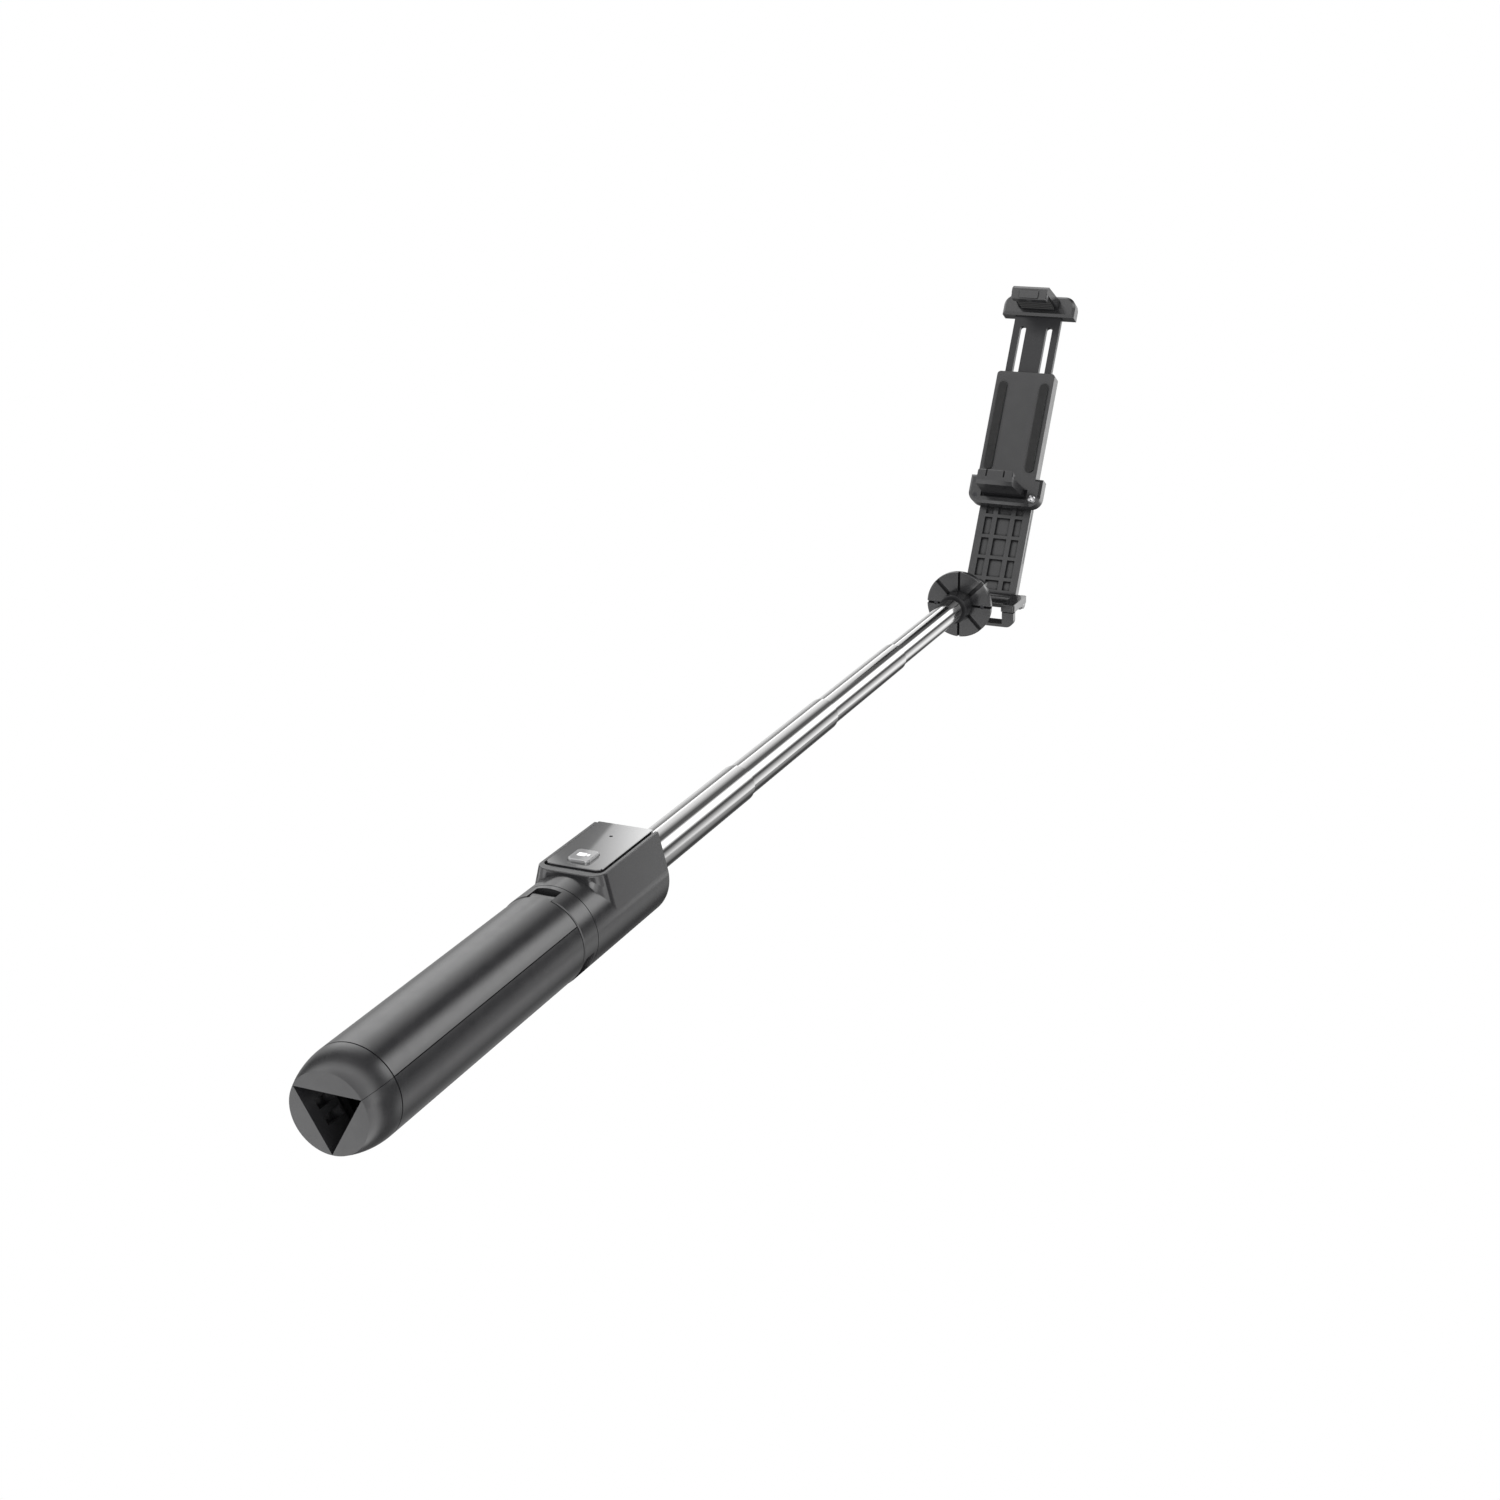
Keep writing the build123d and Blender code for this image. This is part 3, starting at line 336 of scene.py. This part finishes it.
def rounded_outline(x, y, half_x, half_y, radius, steps=6):
    """Rounded rectangle, anticlockwise."""
    points = []
    for corner in range(4):
        sign_x = 1 if corner in (0, 3) else -1
        sign_y = 1 if corner < 2 else -1
        for step in range(steps + 1):
            angle = math.pi / 2 * (corner + step / steps)
            points.append((x + sign_x * (half_x - radius) + radius * math.cos(angle),
                           y + sign_y * (half_y - radius) + radius * math.sin(angle)))
    return points


MARK_BODY_SHIFT = 0.5 * MM      # of the body's middle from the button's middle
MARK_BODY_HALF = (1.35 * MM, 1.1 * MM)
MARK_CORNER = 0.35 * MM
MARK_WEDGE_SHIFT = 1.05 * MM
MARK_WEDGE_LENGTH = 0.9 * MM
MARK_WEDGE_HALF = (0.25 * MM, 0.85 * MM)
MARK_SINK = 0.02 * MM
MARK_RISE = 0.05 * MM


def make_button_mark():
    """Generic camera mark: a rounded body and a wedge-shaped viewfinder."""
    low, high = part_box("remote_button")
    x, y, top = (low.x + high.x) / 2, (low.y + high.y) / 2, high.z

    def build(shape):
        body = rounded_outline(x - MARK_BODY_SHIFT, y, *MARK_BODY_HALF, MARK_CORNER)
        tip = x + MARK_WEDGE_SHIFT
        end = tip + MARK_WEDGE_LENGTH
        narrow, wide = MARK_WEDGE_HALF
        wedge = [(tip, y - narrow), (end, y - wide), (end, y + wide), (tip, y + narrow)]
        for outline in (body, wedge):
            slab(shape, outline, top - MARK_SINK, top + MARK_RISE)

    mark = link_mesh("button_mark", build, glowing_white_print("glowing_white_print"))
    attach(mark, "button")


# ---- studio --------------------------------------------------------------------------------------------
FLOOR_Z = -0.35
FLOOR_HALF = 30
ROOM_LIGHT = 0.15          # of the dark room round the lights
TENT_RADIUS = 0.75
TENT_SPAN = (-0.9, 2.4)    # along the stick
TENT_STEPS = 90
# light round the stick: (azimuth from +X towards +Z in degrees, brightness), as the handle sees it
NEAR_LIGHT = [(-180, 0.5), (-86, 0.25), (-72, 0.18), (-40, 0.8), (-5, 0.12), (10, 0.1), (30, 2.1),
              (47, 2.1), (66, 0.12), (80, 0.1), (125, 1.9), (150, 1.6), (180, 0.6)]
# and farther along, as the remote and the tubes see it
FAR_LIGHT = [(-180, 0.8), (-86, 0.14), (-74, 0.22), (-42, 1.4), (2, 0.09), (12, 0.12), (26, 2.0),
             (48, 2.0), (60, 0.14), (80, 0.12), (104, 0.85), (128, 1.2), (134, 2.1), (141, 0.5),
             (180, 0.5)]
NEAR_ENDS = (1.36, 1.42)   # distance along the stick over distance from it, where near turns to far
# and round its front end: (distance along the stick over distance from it, brightness)
FRONT_END_LIGHT = [(-3, 0.3), (-1.3, 0.3), (-1.2, 1.6), (-0.6, 1.6), (-0.4, 0.75), (-0.12, 0.75),
                   (0.0, 0.7), (0.1, 1.6), (0.18, 1.6), (0.34, 0.1), (3, 0.1)]
FRONT_ENDS = (0.55, 0.85)  # where the front end's light turns to the near light
# the far bank ends in a straight edge that leans along the stick, and it is brighter farther along
BANK_EDGE = (138.2, 138.4)
BANK_PLACES = (1.045, 1.193)
BANK_LEAN = (-0.5, 0.87)
BANK_GAIN = (0.45, 1.35)
BEHIND_BANK = ((145, 172), (0.32, 0.9))
FRONT_LIGHT = 3.0
FRONT_LIGHT_PLACE = (0.5, -1.5, 0.5)
FRONT_LIGHT_SIZE = (1.1, 0.9)
WHITE_PAPER = 1.0          # brightness of floor and room to the camera


def glow_material(name):
    """Emission material and its strength socket."""
    material = bpy.data.materials.new(name)
    material.use_nodes = True
    tree = material.node_tree
    tree.nodes.clear()
    glow = tree.nodes.new("ShaderNodeEmission")
    out = tree.nodes.new("ShaderNodeOutputMaterial")
    tree.links.new(glow.outputs["Emission"], out.inputs["Surface"])
    return material, tree, glow.inputs["Strength"]


def two_levels(tree, seen, lit, socket):
    """One level for the camera's own rays and another for the light that falls on the object."""
    path = tree.nodes.new("ShaderNodeLightPath")
    level = tree.nodes.new("ShaderNodeMapRange")
    level.inputs["To Max"].default_value = seen
    if isinstance(lit, (int, float)):
        level.inputs["To Min"].default_value = lit
    else:
        tree.links.new(lit, level.inputs["To Min"])
    tree.links.new(path.outputs["Is Camera Ray"], level.inputs["Value"])
    tree.links.new(level.outputs["Result"], socket)


def maths(tree, operation, *values):
    """Math node with numbers or other nodes' outputs as its inputs; returns its output."""
    node = tree.nodes.new("ShaderNodeMath")
    node.operation = operation
    for socket, value in zip(node.inputs, values):
        if isinstance(value, (int, float)):
            socket.default_value = value
        else:
            tree.links.new(value, socket)
    return node.outputs["Value"]


def ranged(tree, value, from_ends, to_ends):
    """Value mapped from one range to another and held at the ends."""
    node = tree.nodes.new("ShaderNodeMapRange")
    node.inputs["From Min"].default_value, node.inputs["From Max"].default_value = from_ends
    node.inputs["To Min"].default_value, node.inputs["To Max"].default_value = to_ends
    tree.links.new(value, node.inputs["Value"])
    return node.outputs["Result"]


def profile_curve(tree, value, profile):
    """Brightness read off a profile at a value between the profile's ends."""
    node = tree.nodes.new("ShaderNodeFloatCurve")
    points = node.mapping.curves[0].points
    brightest = max(level for _, level in profile)
    while len(points) < len(profile):
        points.new(0.5, 0.5)
    first, last = profile[0][0], profile[-1][0]
    for point, (place, level) in zip(points, profile):
        point.location = ((place - first) / (last - first), level / brightest)
        point.handle_type = "VECTOR"
    node.mapping.update()
    tree.links.new(ranged(tree, value, (first, last), (0, 1)), node.inputs["Value"])
    return maths(tree, "MULTIPLY", node.outputs["Value"], brightest)


def light_round_stick(tree):
    """Brightness at a place on the floor or the tent, by its direction round the stick."""
    place = tree.nodes.new("ShaderNodeNewGeometry")
    split = tree.nodes.new("ShaderNodeSeparateXYZ")
    tree.links.new(place.outputs["Position"], split.inputs["Vector"])
    x, y, z = (split.outputs[name] for name in "XYZ")
    azimuth = maths(tree, "MULTIPLY", maths(tree, "ARCTAN2", z, x), 180 / math.pi)
    near = profile_curve(tree, azimuth, NEAR_LIGHT)
    leaning = maths(tree, "SUBTRACT", azimuth, ranged(tree, y, BANK_PLACES, BANK_LEAN))
    bank = maths(tree, "MULTIPLY", profile_curve(tree, leaning, FAR_LIGHT),
                 ranged(tree, y, BANK_PLACES, BANK_GAIN))
    far = blend(tree, ranged(tree, leaning, BANK_EDGE, (0, 1)), bank, ranged(tree, azimuth, *BEHIND_BANK))
    square = maths(tree, "ADD", maths(tree, "MULTIPLY", x, x), maths(tree, "MULTIPLY", z, z))
    away = maths(tree, "SQRT", square)
    ahead = maths(tree, "DIVIDE", y, away)
    front = profile_curve(tree, ahead, FRONT_END_LIGHT)
    return blend(tree, ranged(tree, ahead, FRONT_ENDS, (0, 1)), front,
                 blend(tree, ranged(tree, ahead, NEAR_ENDS, (0, 1)), near, far))


def blend(tree, share, first, second):
    """First value at share 0, second at share 1."""
    return maths(tree, "MULTIPLY_ADD", share, maths(tree, "SUBTRACT", second, first), first)


def make_floor():
    """Plain pale floor, well below the stick that a hand would hold."""
    material, tree, strength = glow_material("floor_white")
    two_levels(tree, WHITE_PAPER, light_round_stick(tree), strength)
    floor = link_mesh("floor", lambda shape: bmesh.ops.create_grid(shape, size=FLOOR_HALF), material)
    floor.location = (0, 0, FLOOR_Z)


def make_world():
    """Pale to the camera, dim to the object, so that the lights shape the reflections."""
    world = bpy.data.worlds.new("studio")
    bpy.context.scene.world = world
    world.use_nodes = True
    background = world.node_tree.nodes["Background"]
    background.inputs["Color"].default_value = (1, 1, 1, 1)
    two_levels(world.node_tree, WHITE_PAPER, ROOM_LIGHT, background.inputs["Strength"])


def make_tent():
    """Half-round light tent over the stick."""
    material, tree, strength = glow_material("tent_light")
    tree.links.new(light_round_stick(tree), strength)

    def build(shape):
        rows = []
        for step in range(TENT_STEPS + 1):
            turn = math.pi * step / TENT_STEPS
            x, z = TENT_RADIUS * math.cos(turn), TENT_RADIUS * math.sin(turn)
            rows.append([shape.verts.new((x, y, z)) for y in TENT_SPAN])
        for low, high in zip(rows, rows[1:]):
            shape.faces.new((low[0], low[1], high[1], high[0]))

    tent = link_mesh("tent", build, material)
    tent.visible_camera = False


def softbox(name, place, target, width, height, radiance):
    """Rectangular soft light of a given radiance."""
    data = bpy.data.lights.new(name, "AREA")
    data.shape = "RECTANGLE"
    data.size = width
    data.size_y = height
    data.energy = radiance * math.pi * width * height
    lamp = bpy.data.objects.new(name, data)
    bpy.context.scene.collection.objects.link(lamp)
    toward = (Vector(target) - Vector(place)).normalized()
    lamp.location = place
    lamp.rotation_mode = "QUATERNION"
    lamp.rotation_quaternion = toward.to_track_quat("-Z", "Y")
    lamp.visible_camera = False


def make_studio():
    """Light tent, front light, floor and room."""
    bpy.context.scene.view_settings.view_transform = "Standard"
    make_world()
    make_floor()
    make_tent()
    softbox("front_light", FRONT_LIGHT_PLACE, (0, 0, 0), *FRONT_LIGHT_SIZE, FRONT_LIGHT)


make_camera()
dress_nodes()
dress_end_disc()
make_button_mark()
make_studio()
